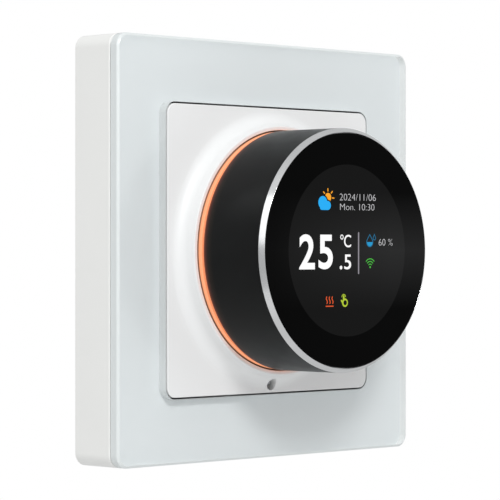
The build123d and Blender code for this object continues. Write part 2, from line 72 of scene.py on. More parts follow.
FRAME_HALF = half("outer_frame")
FRAME_FRONT = front("outer_frame")
PANEL_BACK = back("glass_panel")
PANEL_FRONT = front("glass_panel")
INSERT_HALF = half("centre_plate")
PLATE_BACK = PANEL_BACK
BOSS_TOP = front("centre_plate")
RING_RADIUS = 22.9
RING_FRONT = BOSS_TOP + 0.8
RING_CORE_FRONT = front("light_ring")
KNOB_RADIUS = half("knob_sleeve")
SLEEVE_BACK = back("knob_sleeve")
SLEEVE_FRONT = front("knob_sleeve")
KNOB_BORE = 21.5
BEZEL_SEAT = back("bezel_ring")
BEZEL_FRONT = front("bezel_ring")
KNOB_TOP = front("cover_glass")
LENS_RADIUS = half("cover_glass")
LENS_BACK = back("cover_glass")
HOUSING_BACK = back("rear_housing")
HOUSING_HALF = half("rear_housing")
BRACKET_HALF = half("mounting_bracket")
BRACKET_FRONT = front("mounting_bracket")

FRAME_CORNER = 2.5
OPENING_CORNER = 2.3
INSERT_CORNER = 2.0
INSERT_GAP = 0.3             # between the insert and the glass round it
INSERT_SKIRT_BACK = 5.0
SNAP_ARM_X = 6.0             # each snap arm's middle, left and right
BOSS_FOOT = 26.9
BOSS_BORE = 23.15
BOSS_HOLLOW = 25.1           # radius of the recess behind the boss
SENSOR_Z = -25.9
SENSOR_HOLE = 1.15
RING_BORE = 20.2
RING_FLANGE = 24.8
RING_FLANGE_DEPTH = 1.5
RING_FACE_BORE = 21.2        # inner radius of the ring's lit face
SPRING_WIRE = 0.3            # radius of the wire
SPRING_TURNS = 4
BEZEL_FIT = 22.6             # radius where the bezel ring sits in the sleeve
LENS_FACE = KNOB_TOP - 0.06
SCREEN_FACE = LENS_FACE + 0.02
DISPLAY_RADIUS = 16.16
SLOT_RADIUS = 30.0           # wall screw slots, from the middle
HOUSING_CLIP = 4.5           # how far the housing's corners reach past its flat sides
TERMINAL_HALF = half("terminal_block")
TERMINAL_PITCH = 5.08
TERMINAL_SCREW_Z = -19.6
TURNED_STEPS = 256


# ---------------------------------------------------------------- mesh helpers
def point(x, z, height):
    return Vector((x * MM, -height * MM, z * MM))


def new_object(name, vertices, faces):
    mesh = bpy.data.meshes.new(name)
    mesh.from_pydata(vertices, [], faces)
    mesh.validate()
    obj = bpy.data.objects.new(name, mesh)
    bpy.context.scene.collection.objects.link(obj)
    face_outward(obj)
    return obj


def face_outward(obj):
    """Turns every face's normal away from the solid."""
    work = bmesh.new()
    work.from_mesh(obj.data)
    bmesh.ops.recalc_face_normals(work, faces=work.faces)
    work.to_mesh(obj.data)
    work.free()


def loft(name, loops, ring=False):
    """Skins loops of (x, z, height) points; a ring joins its last loop to its first."""
    count = len(loops[0])
    vertices = [point(*place) for loop in loops for place in loop]
    faces = []
    for index in range(len(loops) if ring else len(loops) - 1):
        near, far = index * count, (index + 1) % len(loops) * count
        for step in range(count):
            after = (step + 1) % count
            faces.append((near + step, near + after, far + after, far + step))
    if not ring:
        faces.append(tuple(range(count)))
        faces.append(tuple(range((len(loops) - 1) * count, len(loops) * count)))
    return new_object(name, vertices, faces)


def circle(radius, height, x=0.0, z=0.0, steps=TURNED_STEPS):
    turns = [math.tau * step / steps for step in range(steps)]
    return [(x + radius * math.cos(turn), z + radius * math.sin(turn), height) for turn in turns]


def rounded_square(reach, corner, height, steps=12, tall=None):
    """A rectangle with round corners; tall is its half height where it isn't square."""
    tall = reach if tall is None else tall
    places = []
    for quarter, (side, rise) in enumerate(((1, 1), (-1, 1), (-1, -1), (1, -1))):
        for step in range(steps + 1):
            turn = math.pi / 2 * (quarter + step / steps)
            places.append((side * (reach - corner) + corner * math.cos(turn),
                           rise * (tall - corner) + corner * math.sin(turn), height))
    return places


def clipped_square(reach, radius, height, steps=12):
    """A square whose corners are cut by a circle round its middle."""
    first = math.acos(min(1.0, reach / radius))
    places = []
    for quarter in range(4):
        for step in range(steps + 1):
            turn = math.pi / 2 * quarter + first + (math.pi / 2 - 2 * first) * step / steps
            places.append((radius * math.cos(turn), radius * math.sin(turn), height))
    return places


def soften(outline, radius, steps=4, closed=True):
    """Rounds the corners of an outline; radius is one number, or one for each corner."""
    softened = []
    count = len(outline)
    for index, corner in enumerate(outline):
        reach = radius[index] if isinstance(radius, (list, tuple)) else radius
        at_end = not closed and index in (0, count - 1)
        if reach == 0 or at_end:
            softened.append(tuple(corner))
            continue
        corner = Vector(corner)
        before = Vector(outline[index - 1]) - corner
        after = Vector(outline[(index + 1) % count]) - corner
        start = corner + before.normalized() * min(reach, before.length * 0.45)
        end = corner + after.normalized() * min(reach, after.length * 0.45)
        for step in range(steps + 1):
            share = step / steps
            middle = corner * 2 * share * (1 - share)
            softened.append(tuple(start * (1 - share) ** 2 + middle + end * share**2))
    return softened


def lathe(name, outline, steps=TURNED_STEPS, x=0.0, z=0.0):
    """Turns a closed outline of (radius, height) points about the knob's axis, or a line beside it."""
    return loft(name, [circle(radius, height, x, z, steps) for radius, height in outline], ring=True)


def turned_bar(name, outline, x=0.0, z=0.0, steps=48):
    """Turns an open outline that starts and ends near the axis, and closes both ends."""
    return loft(name, [circle(radius, height, x, z, steps) for radius, height in outline])


def square_ring(name, outline):
    """Sweeps a closed outline of (half width, height, corner radius) round a square."""
    return loft(name, [rounded_square(reach, corner, height) for reach, height, corner in outline], ring=True)


def brick(name, left, right, bottom, top, low, high):
    corners = [(left, bottom), (right, bottom), (right, top), (left, top)]
    return loft(name, [[(x, z, height) for x, z in corners] for height in (low, high)])


def apply_modifiers(obj):
    graph = bpy.context.evaluated_depsgraph_get()
    mesh = bpy.data.meshes.new_from_object(obj.evaluated_get(graph))
    obj.modifiers.clear()
    obj.data = mesh
    mesh.name = obj.name


def carve(obj, tools, operation="DIFFERENCE"):
    """Cuts the tools out of a piece, or joins them to it, and removes them."""
    for tool in tools:
        modifier = obj.modifiers.new("carve", "BOOLEAN")
        modifier.operation = operation
        modifier.solver = "EXACT"
        modifier.object = tool
    apply_modifiers(obj)
    for tool in tools:
        bpy.data.objects.remove(tool)
    return obj


def ease_edges(obj, width, segments=2, angle=35):
    """Bevels every edge sharper than the angle."""
    modifier = obj.modifiers.new("ease", "BEVEL")
    modifier.width = width * MM
    modifier.segments = segments
    modifier.limit_method = "ANGLE"
    modifier.angle_limit = math.radians(angle)
    modifier.use_clamp_overlap = True
    apply_modifiers(obj)
    return obj


def join(name, parts):
    """Makes one mesh of several."""
    vertices, faces = [], []
    for part in parts:
        first = len(vertices)
        vertices += [vertex.co.copy() for vertex in part.data.vertices]
        faces += [tuple(first + index for index in face.vertices) for face in part.data.polygons]
        bpy.data.objects.remove(part)
    return new_object(name, vertices, faces)


def place(obj, body, material, slot, replaced=(), crease=40):
    """Gives a finished piece its shading, material and body; slot is not used."""
    mesh = obj.data
    mesh.shade_smooth()
    mesh.set_sharp_from_angle(angle=math.radians(crease))
    weighted = obj.modifiers.new("normals", "WEIGHTED_NORMAL")
    weighted.keep_sharp = True
    mesh.materials.clear()
    mesh.materials.append(material)
    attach(obj, body)
    if replaced:
        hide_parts(*replaced)
    return obj


# ---------------------------------------------------------------- materials
def linear(red, green, blue):
    """A colour given as 0 to 255 display values, in the renderer's linear values."""
    values = [channel / 255 for channel in (red, green, blue)]
    return tuple(v / 12.92 if v <= 0.04045 else ((v + 0.055) / 1.055) ** 2.4 for v in values) + (1.0,)


class Nodes:
    """Short calls for building one material's node tree."""

    def __init__(self, name):
        self.material = bpy.data.materials.new(name)
        self.material.use_nodes = True
        self.tree = self.material.node_tree
        self.shader = self.tree.nodes["Principled BSDF"]
        self.output = self.tree.nodes["Material Output"]
        self.place = self.add("ShaderNodeTexCoord").outputs["Object"]

    def add(self, kind, inputs=(), **settings):
        """A node; each input is a plain value or another node's output."""
        node = self.tree.nodes.new(kind)
        for key, value in settings.items():
            setattr(node, key, value)
        for key, value in dict(inputs).items():
            self.put(value, node.inputs[key])
        return node

    def put(self, value, socket):
        if isinstance(value, bpy.types.NodeSocket):
            self.tree.links.new(value, socket)
        else:
            socket.default_value = value

    def dress(self, inputs):
        """Feeds the shader's own inputs, and gives back the material."""
        for key, value in inputs.items():
            self.put(value, self.shader.inputs[key])
        return self.material

    def calculate(self, operation, *values):
        node = self.add("ShaderNodeMath", dict(enumerate(values)), operation=operation)
        return node.outputs["Value"]

    def noise(self, size, detail=3.0):
        """Noise whose features are about size millimetres."""
        mapping = self.add("ShaderNodeMapping", {"Vector": self.place, "Scale": [1 / (size * MM)] * 3})
        inputs = {"Vector": mapping.outputs["Vector"], "Scale": 1.0, "Detail": detail}
        return self.add("ShaderNodeTexNoise", inputs).outputs["Fac"]

    def coordinate(self, axis):
        """Place along one axis, in millimetres."""
        split = self.add("ShaderNodeSeparateXYZ", {"Vector": self.place})
        return self.calculate("MULTIPLY", split.outputs[axis], 1 / MM)

    def radius(self):
        """Distance from the knob's axis, in millimetres."""
        split = self.add("ShaderNodeSeparateXYZ", {"Vector": self.place}).outputs
        flat = self.add("ShaderNodeCombineXYZ", {"X": split["X"], "Z": split["Z"]})
        away = self.add("ShaderNodeVectorMath", {0: flat.outputs["Vector"]}, operation="LENGTH")
        return self.calculate("MULTIPLY", away.outputs["Value"], 1 / MM)

    def spread(self, source, low, high, start=0.3, end=0.7):
        """The source, from start to end, mapped to low to high."""
        inputs = {"Value": source, "From Min": start, "From Max": end, "To Min": low, "To Max": high}
        return self.add("ShaderNodeMapRange", inputs).outputs["Result"]

    def ramp(self, source, stops):
        """The colours of the stops, each at its place along the source."""
        node = self.add("ShaderNodeValToRGB", {"Fac": source})
        elements = node.color_ramp.elements
        for index, (position, colour) in enumerate(stops):
            stop = elements[index] if index < 2 else elements.new(position)
            stop.position = position
            stop.color = colour
        return node.outputs["Color"]

    def blend(self, source, first, second, start=0.3, end=0.7):
        """A colour between two, driven by the source."""
        return self.ramp(source, [(start, first), (end, second)])

    def painted_ring_glow(self, base, height):
        """The base colour with the lit ring's glow painted on just above that height."""
        reach = self.spread(self.coordinate("Y"), 0.0, 1.0, -height, -height - 2.2)
        painted_glow = self.ramp(reach, [
            (0.0, (0.40, 0.105, 0.05, 1)),
            (0.12, (0.16, 0.042, 0.024, 1)),
            (0.26, (0.055, 0.019, 0.014, 1)),
            (0.5, (0.016, 0.009, 0.006, 1)),
            (1.0, (0.0, 0.0, 0.0, 1)),
        ])
        total = self.add("ShaderNodeMix", {"Factor": 1.0, "A": base, "B": painted_glow},
                         data_type="RGBA", blend_type="ADD")
        return total.outputs["Result"]

    def bump(self, source, depth):
        """The normal bent by the source; depth is in millimetres."""
        inputs = {"Height": source, "Strength": 1.0, "Distance": depth * MM}
        return self.add("ShaderNodeBump", inputs).outputs["Normal"]


def shade(colour, share):
    return tuple(min(1.0, channel * share) for channel in colour[:3]) + (1.0,)


def moulded(name, colour, roughness=0.4, grain=0.25, depth=0.004, tone=0.03, coat=0.0, glow=0.0):
    """Moulded plastic or paint: faint tone drift, fine grain, and uneven gloss; glow is painted light that it
    gives off, though it is no lamp.
    """
    nodes = Nodes(name)
    fine = nodes.noise(grain, detail=2.0)
    return nodes.dress({
        "Base Color": nodes.blend(nodes.noise(14.0), shade(colour, 1 - tone), shade(colour, 1 + tone)),
        "Roughness": nodes.spread(fine, roughness - 0.05, roughness + 0.05),
        "Normal": nodes.bump(fine, depth),
        "Coat Weight": coat,
        "Emission Color": (1.0, 1.0, 1.0, 1.0),
        "Emission Strength": glow,
    })


def metal(name, colour, roughness=0.3, grain=0.4, depth=0.003, tone=0.08):
    """Metal with plating marks and a cloudy tone."""
    nodes = Nodes(name)
    marks = nodes.noise(grain, detail=4.0)
    return nodes.dress({
        "Base Color": nodes.blend(nodes.noise(9.0), shade(colour, 1 - tone), shade(colour, 1 + tone)),
        "Roughness": nodes.spread(marks, roughness - 0.08, roughness + 0.08),
        "Normal": nodes.bump(marks, depth),
        "Metallic": 1.0,
    })


def lit(name, colour, strength=1.0, base=(0.01, 0.01, 0.01, 1.0)):
    """A shape that glows on the display, over a fine grid of display dots."""
    nodes = Nodes(name)
    dots = nodes.noise(0.14, detail=0.0)
    return nodes.dress({
        "Base Color": nodes.blend(dots, shade(base, 0.7), base),
        "Roughness": nodes.spread(dots, 0.25, 0.35),
        "Specular IOR Level": 0.1,
        "Emission Color": colour,
        "Emission Strength": strength,
    })


def clear_glass():
    """Clear glass that lets light straight through and mirrors by its angle, from the front only."""
    nodes = Nodes("clear_glass")
    through = nodes.add("ShaderNodeBsdfTransparent", {"Color": (0.985, 0.992, 0.992, 1.0)})
    fresnel = nodes.add("ShaderNodeFresnel", {"IOR": 1.85})
    behind = nodes.add("ShaderNodeNewGeometry").outputs["Backfacing"]
    mirror = nodes.calculate("MULTIPLY", fresnel.outputs["Fac"], nodes.calculate("SUBTRACT", 1.0, behind))
    mix = nodes.add("ShaderNodeMixShader", {"Fac": mirror, 1: through.outputs["BSDF"],
                                            2: nodes.shader.outputs["BSDF"]})
    nodes.put(mix.outputs["Shader"], nodes.output.inputs["Surface"])
    return nodes.dress({
        "Base Color": (0.90, 0.93, 0.93, 1.0),
        "Roughness": nodes.spread(nodes.noise(30.0), 0.18, 0.21),
        "Metallic": 1.0,
    })


def polished_black(name, glow=None):
    """Black glass with a faint painted sheen in its base colour across its middle; glow is the colour of a
    lit screen under it.
    """
    nodes = Nodes(name)
    # Painted sheen: the base colour is lighter along the middle and grows lighter towards the right.
    across = nodes.spread(nodes.coordinate("X"), 0.12, 1.0, -20.0, 12.0)
    height = nodes.spread(nodes.calculate("ABSOLUTE", nodes.coordinate("Z")), 1.0, 0.0, 0.0, 11.0)
    sheen = nodes.calculate("MULTIPLY", across, height)
    darkest, lightest = (0.0005, 0.0005, 0.0005, 1), (0.015, 0.015, 0.0152, 1)
    if glow:
        nodes.dress({"Emission Color": glow, "Emission Strength": 0.9})
    return nodes.dress({
        "Base Color": nodes.blend(sheen, darkest, lightest, 0.0, 1.0),
        "Roughness": nodes.spread(nodes.noise(3.0), 0.10, 0.13),
        "Specular IOR Level": 0.03,
    })


def turned_metal(name, colour, roughness, pitch, depth, weight=1.0, specular=0.5, ring_glow_from=None):
    """Metal with the fine rings that a lathe leaves; the last argument is the height just above which the lit
    ring's glow is painted into its colour.
    """
    nodes = Nodes(name)
    wave = nodes.calculate("SINE", nodes.calculate("MULTIPLY", nodes.radius(), math.tau / pitch))
    drift = nodes.noise(6.0)
    base = nodes.blend(drift, shade(colour, 0.94), shade(colour, 1.05))
    if ring_glow_from is not None:
        base = nodes.painted_ring_glow(base, ring_glow_from)
    return nodes.dress({
        "Base Color": base,
        "Roughness": nodes.spread(drift, roughness - 0.04, roughness + 0.04),
        "Normal": nodes.bump(wave, depth),
        "Metallic": weight,
        "Specular IOR Level": specular,
    })


def circuit_board():
    """Green solder mask with lighter copper tracks under it."""
    nodes = Nodes("circuit_board")
    cells = nodes.add("ShaderNodeTexVoronoi", {"Vector": nodes.place, "Scale": 1 / (2.2 * MM)},
                      feature="DISTANCE_TO_EDGE")
    edge, (start, end) = cells.outputs["Distance"], (0.04, 0.07)
    return nodes.dress({
        "Base Color": nodes.blend(edge, (0.05, 0.22, 0.09, 1), (0.008, 0.075, 0.035, 1), start, end),
        "Roughness": nodes.spread(nodes.noise(0.6), 0.25, 0.4),
        "Normal": nodes.bump(nodes.spread(edge, 1.0, 0.0, start, end), 0.01),
    })


def light_guide():
    """Diffusing plastic lit from inside."""
    nodes = Nodes("light_guide")
    frost = nodes.noise(0.5)
    return nodes.dress({
        "Base Color": nodes.blend(frost, (0.50, 0.20, 0.11, 1), (0.58, 0.24, 0.13, 1)),
        "Roughness": nodes.spread(frost, 0.4, 0.55),
        "Emission Color": (1.0, 0.38, 0.17, 1.0),
        "Emission Strength": 0.62,
    })


WHITE = moulded("white_plastic", (0.84, 0.84, 0.822, 1), roughness=0.38, tone=0.008, depth=0.002)
INSERT_WHITE = moulded("insert_white", (0.81, 0.815, 0.815, 1), roughness=0.42, tone=0.006, depth=0.001)
PAINT = moulded("back_paint", (0.72, 0.75, 0.76, 1), roughness=0.5, tone=0.006, depth=0.001)
GROUND_EDGE = moulded("ground_glass_edge", (0.74, 0.765, 0.765, 1), roughness=0.45, tone=0.01, depth=0.001)
# The inner lining of the glass edge gives off a faint painted glow.
EDGE_INSIDE_PAINTED_GLOW = moulded("glass_edge_inside_painted_glow", (0.72, 0.735, 0.73, 1), roughness=0.5, tone=0.005, depth=0.0,
                      glow=0.13)
OPENING_EDGE = moulded("opening_glass_edge", (0.68, 0.70, 0.70, 1), roughness=0.5, tone=0.01, depth=0.001)
# Dark brown: painted shade of the gap under the boss's lip, tinted by the ring's glow.
SHADED_GUIDE = moulded("light_guide_painted_shade", (0.42, 0.23, 0.15, 1), roughness=0.5, tone=0.05)
GLASS = clear_glass()
TAPE = moulded("bonding_tape", (0.42, 0.42, 0.42, 1), roughness=0.9, grain=0.5, depth=0.02, tone=0.15)
# The sleeve's base colour carries a painted orange glow of the lit ring near its back edge.
SLEEVE = turned_metal("black_anodised", (0.004, 0.004, 0.004, 1), 0.34, 0.2, 0.0004, weight=0.0,
                      specular=0.11, ring_glow_from=SLEEVE_BACK)
BEZEL = turned_metal("bright_bevel", (0.62, 0.625, 0.63, 1), 0.17, 0.11, 0.0006)
LENS = polished_black("black_lens")
SCREEN = polished_black("dark_screen", glow=linear(20, 20, 20))
STEEL = metal("zinc_plate", (0.62, 0.63, 0.66, 1), roughness=0.38, grain=0.9, depth=0.004, tone=0.1)
SCREW_STEEL = metal("screw_steel", (0.60, 0.60, 0.62, 1), roughness=0.3, grain=0.3, depth=0.003)
BRASS = metal("plated_brass", (0.72, 0.60, 0.36, 1), roughness=0.32, grain=0.3)
HOUSING = moulded("housing_plastic", (0.70, 0.705, 0.70, 1), roughness=0.62, grain=0.18, depth=0.02,
                  tone=0.02)
TERMINAL = moulded("terminal_green", (0.035, 0.24, 0.10, 1), roughness=0.42, depth=0.004, tone=0.06)
DARK = moulded("dark_plastic", (0.022, 0.022, 0.024, 1), roughness=0.45, tone=0.15, depth=0.006)
GREY = moulded("grey_plastic", (0.32, 0.33, 0.34, 1), roughness=0.5, tone=0.05, depth=0.008)
NATURAL = moulded("natural_plastic", (0.74, 0.72, 0.65, 1), roughness=0.45, tone=0.04)
BLUE = moulded("component_blue", (0.02, 0.09, 0.34, 1), roughness=0.3, tone=0.06)
BROWN = moulded("component_brown", (0.10, 0.035, 0.015, 1), roughness=0.35, tone=0.08)
ORANGE_FILM = moulded("polyimide_film", (0.48, 0.17, 0.02, 1), roughness=0.25, tone=0.06, coat=0.3)
LED = lit("lit_package", (1.0, 0.55, 0.25, 1), 1.5, base=(0.8, 0.7, 0.4, 1.0))

BOARD = circuit_board()
GLOW = light_guide()
INK_WHITE = lit("ink_white", (1, 1, 1, 1))
INK_PALE = lit("ink_pale", linear(200, 200, 202))
INK_GREY = lit("ink_grey", linear(142, 138, 146))
INK_BLUE = lit("ink_blue", linear(22, 150, 205))
INK_DIM_BLUE = lit("ink_dim_blue", linear(24, 110, 150))
INK_GREEN = lit("ink_green", linear(70, 185, 60))
INK_CLOUD = lit("ink_cloud", linear(22, 172, 245))
INK_SUN = lit("ink_sun", linear(250, 165, 30))
INK_HEAT = lit("ink_heat", linear(225, 85, 35))
INK_HAND = lit("ink_hand", linear(175, 200, 45))


# ---------------------------------------------------------------- frame, panel and insert
def outer_frame():
    """Hollow square frame with a collar round the insert and ribs between the collar and the walls."""
    inner_wall, web = FRAME_HALF - 2.4, FRAME_FRONT - 2.2
    collar, collar_back = INSERT_HALF + 0.6, 2.2
    collar_wall = collar + 1.6
    outline = [(FRAME_HALF, 0.0, FRAME_CORNER), (FRAME_HALF, FRAME_FRONT, FRAME_CORNER),
               (collar, FRAME_FRONT, 2.4), (collar, collar_back, 2.4), (collar_wall, collar_back, 2.6),
               (collar_wall, web, 2.6), (inner_wall, web, 1.2), (inner_wall, 0.0, 1.2)]
    body = square_ring("outer_frame_shell", soften(outline, (0.15, 0.3, 0.2, 0.2, 0.2, 0.3, 0.3, 0.15)))
    ribs = []
    for turn in range(4):
        for offset in (-15.0, 15.0):
            rib = brick("rib", offset - 0.6, offset + 0.6, collar + 1.4, inner_wall + 0.2, 3.0, web + 0.3)
            rib.data.transform(Matrix.Rotation(math.pi / 2 * turn, 4, "Y"))
            ribs.append(rib)
    carve(body, ribs, "UNION")
    place(body, "base", WHITE, "white_plastic", ["outer_frame"])


def panel_tape():
    """Thin bonding tape between the frame and the glass."""
    low, high = FRAME_FRONT, PANEL_BACK
    outer, inner = FRAME_HALF - 0.45, INSERT_HALF + 1.1
    outline = [(outer, low, 2.1), (outer, high, 2.1), (inner, high, 2.6), (inner, low, 2.6)]
    body = square_ring("bonding_tape", soften(outline, 0.06, steps=2))
    place(body, "base", TAPE, "black_tape", ["panel_tape"])


def glass_panel():
    """The clear panel, the paint on its back, and thin linings that show its ground edges."""
    opening, bevel, chamfer = INSERT_HALF + INSERT_GAP, 0.4, 0.12
    outline = [(FRAME_HALF, PANEL_BACK, FRAME_CORNER), (FRAME_HALF, PANEL_FRONT - bevel, FRAME_CORNER),
               (FRAME_HALF - bevel, PANEL_FRONT, FRAME_CORNER - bevel),
               (opening + chamfer, PANEL_FRONT, OPENING_CORNER),
               (opening, PANEL_FRONT - chamfer, OPENING_CORNER), (opening, PANEL_BACK, OPENING_CORNER)]
    glass = square_ring("panel_glass", soften(outline, (0.05, 0.08, 0.08, 0.04, 0.04, 0.05), steps=2))
    place(glass, "base", GLASS, "panel_glass", ["glass_panel"], crease=30)

    low, high = PANEL_BACK + 0.005, PANEL_BACK + 0.06
    outer, inner = FRAME_HALF - 0.05, opening + 0.05
    outline = [(outer, low, 2.45), (outer, high, 2.45), (inner, high, 2.3), (inner, low, 2.3)]
    place(square_ring("panel_paint", outline), "base", PAINT, "panel_glass")

    skin = 0.03
    foot, shoulder, top = PANEL_BACK + 0.02, PANEL_FRONT - bevel, PANEL_FRONT - 0.02
    outer = FRAME_HALF - 0.015
    outline = [(outer, foot, 2.48), (outer, shoulder, 2.48), (outer - bevel, top, 2.1),
               (outer - bevel - skin, top, 2.08), (outer - skin, shoulder - skin, 2.45),
               (outer - skin, foot, 2.45)]
    edge = square_ring("panel_outer_edge", outline)
    place(edge, "base", GROUND_EDGE, "panel_glass", crease=20)
    edge.visible_shadow = False
    outline = [(reach - 1.3 * skin, height - 0.3 * skin, corner - 0.04) for reach, height, corner in outline]
    # This lining glows faintly: painted light that brightens the edge strip seen through the glass.
    inside = square_ring("panel_edge_inside", outline)
    place(inside, "base", EDGE_INSIDE_PAINTED_GLOW, "panel_glass", crease=20)
    inside.visible_shadow = False

    inner, top = opening + 0.015, PANEL_FRONT - chamfer - 0.01
    outline = [(inner, low, 2.31), (inner, top, 2.31), (inner + skin, top, 2.34), (inner + skin, low, 2.34)]
    lining = square_ring("panel_opening_edge", outline)
    place(lining, "base", OPENING_EDGE, "panel_glass", crease=20)


def boss_outline():
    """Section of the boss, flaring from its foot up to the lip of its bore, as (radius, height)."""
    flare, crown, lip = 2.7, 0.3, 0.15
    steep = math.radians(78.0)
    climb = (flare + crown) * (1 - math.cos(steep))
    straight = (BOSS_TOP - PANEL_FRONT - climb) / math.tan(steep)
    crest = BOSS_FOOT - (flare + crown) * math.sin(steep) - straight
    turns = [steep * step / 20 for step in range(21)]
    outline = [(BOSS_FOOT - flare * math.sin(turn), PANEL_FRONT + flare * (1 - math.cos(turn)))
               for turn in turns]
    turns = [steep * step / 6 for step in range(6, -1, -1)]
    outline += [(crest + crown * math.sin(turn), BOSS_TOP - crown * (1 - math.cos(turn))) for turn in turns]
    for step in range(5):
        turn = math.pi / 2 * step / 4
        outline.append((BOSS_BORE + lip * (1 - math.sin(turn)), BOSS_TOP - lip * (1 - math.cos(turn))))
    return outline


def square_on_rays(turns, reach, corner, height):
    """Where rays from the middle at those angles meet a rounded square."""
    places = []
    for turn in turns:
        along, across = abs(math.cos(turn)), abs(math.sin(turn))
        flat = reach / max(along, across)
        if flat * min(along, across) > reach - corner:
            middle = (reach - corner) * (along + across)
            flat = middle + math.sqrt(max(0.0, middle**2 - 2 * (reach - corner) ** 2 + corner**2))
        places.append((flat * math.cos(turn), flat * math.sin(turn), height))
    return places


def corner_rich_turns():
    """Angles round a full turn, closer together where the square's corners are."""
    reach, clear = math.radians(4.4), math.radians(4.8)
    even = [math.tau * step / 240 for step in range(240)]
    corners = [math.pi / 2 * quarter + math.pi / 4 + reach * step / 12
               for quarter in range(4) for step in range(-12, 13)]
    far = [turn for turn in even if abs((turn % (math.pi / 2)) - math.pi / 4) > clear]
    return sorted(far + corners)


def centre_plate():
    """White insert: flat square front, round boss, skirt behind, snap arms and the sensor hole."""
    turns = corner_rich_turns()
    inside = INSERT_HALF - 1.5
    edge = soften([(INSERT_HALF, INSERT_SKIRT_BACK, INSERT_CORNER), (INSERT_HALF, PANEL_FRONT, INSERT_CORNER),
                   (INSERT_HALF - 2, PANEL_FRONT, INSERT_CORNER)], (0, 0.2, 0), steps=5, closed=False)[:-1]
    loops = [square_on_rays(turns, reach, corner, height) for reach, height, corner in edge]
    loops.append(square_on_rays(turns, INSERT_HALF - 0.3, INSERT_CORNER - 0.3, PANEL_FRONT))
    recess = PLATE_BACK + 1.5
    bore = [(BOSS_BORE, recess), (BOSS_HOLLOW, recess), (BOSS_HOLLOW, PLATE_BACK)]
    for radius, height in boss_outline() + bore:
        loops.append([(radius * math.cos(turn), radius * math.sin(turn), height) for turn in turns])
    loops.append(square_on_rays(turns, inside, 1.0, PLATE_BACK))
    loops.append(square_on_rays(turns, inside, 1.0, INSERT_SKIRT_BACK))
    body = loft("centre_insert", loops, ring=True)
    root, catch, tip = INSERT_SKIRT_BACK + 0.3, -0.1, -1.2
    near, far, nose = INSERT_HALF - 1.4, INSERT_HALF - 0.1, INSERT_HALF + 0.4
    arm = [(near, root), (near, tip), (far, tip), (nose, catch), (far, catch), (far, root)]
    arms = []
    for side in (-1, 1):
        for x in (-SNAP_ARM_X, SNAP_ARM_X):
            ends = [[(x + across, side * z, height) for z, height in arm] for across in (-2, 2)]
            arms.append(loft("arm", ends))
    carve(body, arms, "UNION")
    hole = [(SENSOR_HOLE, PLATE_BACK - 1), (SENSOR_HOLE, PANEL_FRONT + 4)]
    carve(body, [turned_bar("hole", hole, z=SENSOR_Z)])
    place(body, "base", INSERT_WHITE, "white_plastic", ["centre_plate"], crease=32)


def sensor_bead():
    """Bead sensor and its two leads, seen in the bottom of the small hole."""
    low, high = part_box("room_sensor")
    middle_z, top = (low.z + high.z) / 2 / MM, -low.y / MM
    radius = 0.6
    turns = [math.pi * step / 10 for step in range(10)]
    dome = [(radius * math.sin(turn + 0.05), top - radius - radius * math.cos(turn)) for turn in turns]
    dome.append((0.05, top))
    bead = turned_bar("sensor_bead", dome, z=middle_z, steps=32)
    leads = [turned_bar("lead", [(0.12, -high.y / MM), (0.12, top - 0.9)], x=x, z=middle_z, steps=12)
             for x in (-0.3, 0.3)]
    place(join("room_sensor_bead", [bead, *leads]), "base", GREY, "dark_plastic", ["room_sensor"])


def light_ring():
    """The light guide's foot, coloured with painted shade of the gap under the boss's lip, and the band of it
    that is lit.
    """
    low, lit_from = back("light_ring"), BOSS_TOP + 0.05
    flange = low + RING_FLANGE_DEPTH
    outline = [(RING_BORE, low), (RING_FLANGE, low), (RING_FLANGE, flange), (RING_RADIUS, flange),
               (RING_RADIUS, lit_from), (RING_BORE, lit_from)]
    foot = lathe("light_guide_foot", soften(outline, (0.1, 0.1, 0.1, 0, 0, 0), steps=3))
    place(foot, "base", SHADED_GUIDE, "light_guide", ["light_ring"])
    outline = [(RING_BORE, lit_from), (RING_RADIUS, lit_from), (RING_RADIUS, RING_FRONT),
               (RING_FACE_BORE, RING_FRONT), (RING_FACE_BORE, RING_CORE_FRONT), (RING_BORE, RING_CORE_FRONT)]
    band = lathe("light_guide_band", soften(outline, (0, 0, 0.12, 0.05, 0.1, 0.1), steps=3))
    place(band, "base", GLOW, "light_guide")


# ---------------------------------------------------------------- knob
def return_coil():
    """Coil spring behind the knob. On the thermostat it shortens by the knob's travel when the knob is
    pressed; here it is built at one length.
    """
    low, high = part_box("return_spring")
    radius = high.x / MM - SPRING_WIRE
    rear, front = -high.y / MM + SPRING_WIRE, -low.y / MM - SPRING_WIRE
    steps = SPRING_TURNS * TURNED_STEPS // 2
    loops = []
    for step in range(steps + 1):
        turn = math.tau * SPRING_TURNS * step / steps
        height = rear + (front - rear) * step / steps
        loop = []
        for corner in range(10):
            lean = math.tau * corner / 10
            reach = radius + SPRING_WIRE * math.cos(lean)
            along = height + SPRING_WIRE * math.sin(lean)
            loop.append((reach * math.cos(turn), reach * math.sin(turn), along))
        loops.append(loop)
    coil = loft("return_coil", loops)
    place(coil, "head", SCREW_STEEL, "steel_screw", ["return_spring"])
    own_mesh(coil)


def knob_sleeve():
    """Black tube that the fingers turn."""
    outline = [(KNOB_BORE, SLEEVE_BACK), (KNOB_RADIUS, SLEEVE_BACK), (KNOB_RADIUS, SLEEVE_FRONT),
               (BEZEL_FIT, SLEEVE_FRONT), (BEZEL_FIT, BEZEL_SEAT), (KNOB_BORE, BEZEL_SEAT)]
    body = lathe("knob_sleeve_black", soften(outline, (0.1, 0.2, 0.05, 0, 0, 0.05)))
    place(body, "knob", SLEEVE, "black_aluminium", ["knob_sleeve"])


